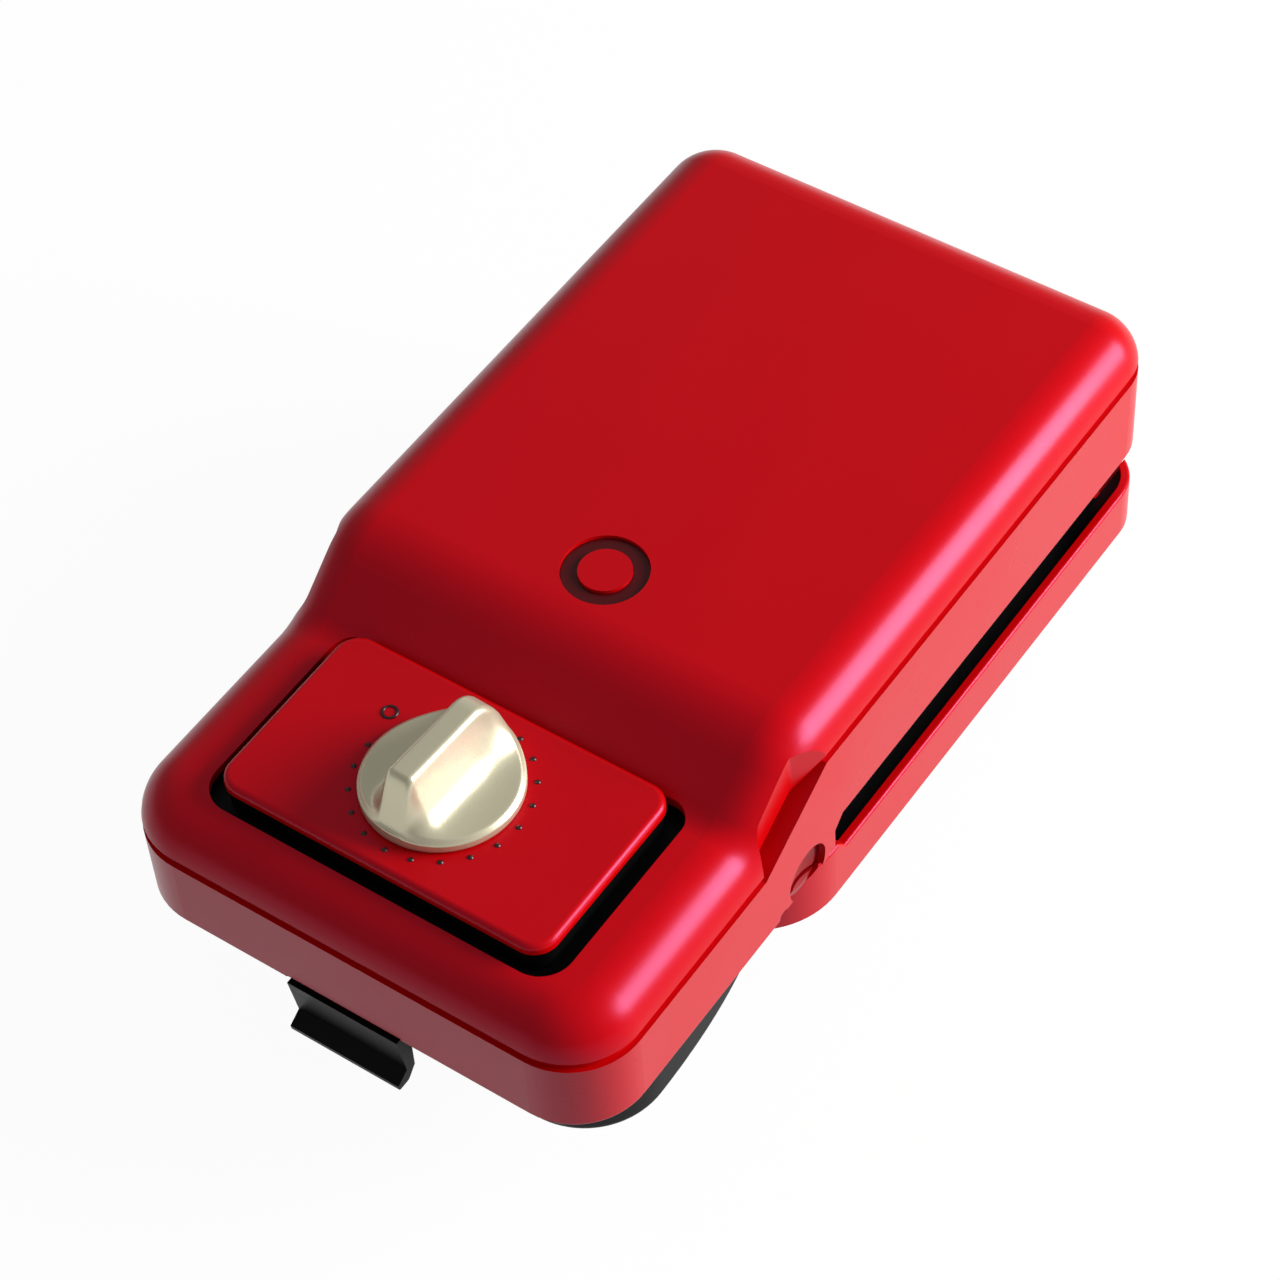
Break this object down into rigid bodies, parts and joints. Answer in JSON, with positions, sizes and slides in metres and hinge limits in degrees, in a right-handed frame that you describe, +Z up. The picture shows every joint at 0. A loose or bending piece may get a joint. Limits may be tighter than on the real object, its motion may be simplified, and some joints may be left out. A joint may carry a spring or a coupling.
{
  "type": "sandwich maker",
  "caption": "Countertop sandwich maker with a domed hinged lid, square grill plates, a timer knob in its long front handle and a swinging front latch.",
  "frame": {"origin": "centre of the footprint, at the underside of the feet", "axes": "+Y to the hinge at the rear, +X to the right seen from the front, +Z up"},
  "size_m": [0.132, 0.2418, 0.1023],
  "materials": {
    "red_plastic": "satin gloss",
    "dark_red_plastic": "satin",
    "black_plastic": "matte",
    "knob_gold": "metallised satin",
    "white_plastic": "matte",
    "steel": "brushed",
    "heater_sheath": "oxidised",
    "coated_plate": "black non-stick coat",
    "brass": "plain",
    "rubber": "matte",
    "lamp_glass": "clear"
  },
  "bodies": {
    "base": {"base_frame": "red_plastic", "lower_inner_frame": "black_plastic", "base_pan": "black_plastic", "rubber_feet": "rubber", "base_screws": "steel", "lower_handle": "black_plastic", "handle_screws": "steel", "hinge_pins": "steel", "lower_cooking_plate": "coated_plate", "lower_heater": "heater_sheath", "lower_heat_shield": "steel", "cord_bush": "rubber", "terminal_block": "white_plastic"},
    "lid": {"lid_cover": "red_plastic", "lid_frame": "red_plastic", "upper_inner_frame": "black_plastic", "panel_tray": "black_plastic", "timer_panel": "red_plastic", "timer_case": "steel", "mainspring_barrel": "steel", "timer_contacts": "brass", "timer_screws": "steel", "timer_bell": "steel", "indicator_lens": "dark_red_plastic", "indicator_cap": "red_plastic", "lamp_holder": "white_plastic", "indicator_lamp": "lamp_glass", "upper_cooking_plate": "coated_plate", "upper_heater": "heater_sheath", "upper_heat_shield": "steel", "thermostat": "white_plastic", "thermal_fuse": "brass", "latch_pin": "steel", "lid_screws": "steel"},
    "latch": {"latch": "black_plastic"},
    "timer_rotor": {"timer_knob": "knob_gold", "timer_shaft": "steel", "timer_cam": "white_plastic"},
    "upper_button": {"upper_release_button": "dark_red_plastic"},
    "lower_button": {"lower_release_button": "dark_red_plastic"}
  },
  "joints": [
    {"name": "lid_hinge", "type": "hinge", "parent": "base", "child": "lid", "pos_m": [0, 0.1137, 0.0495], "axis": [-1, 0, 0], "range_deg": [0, 95]},
    {"name": "latch_pivot", "type": "hinge", "parent": "lid", "child": "latch", "pos_m": [-0.0029, -0.1122, 0.053], "axis": [-1, 0, 0], "range_deg": [0, 12]},
    {"name": "timer_turn", "type": "hinge", "parent": "lid", "child": "timer_rotor", "pos_m": [0, -0.079, 0.0855], "axis": [0, 0, 1], "range_deg": [-270, 0]},
    {"name": "upper_release", "type": "slide", "parent": "lid", "child": "upper_button", "axis": [-1, 0, 0], "range_m": [0, 0.003], "stiffness_N_per_m": 300, "springref_m": -0.003},
    {"name": "lower_release", "type": "slide", "parent": "base", "child": "lower_button", "axis": [-1, 0, 0], "range_m": [0, 0.003], "stiffness_N_per_m": 300, "springref_m": -0.003}
  ]
}
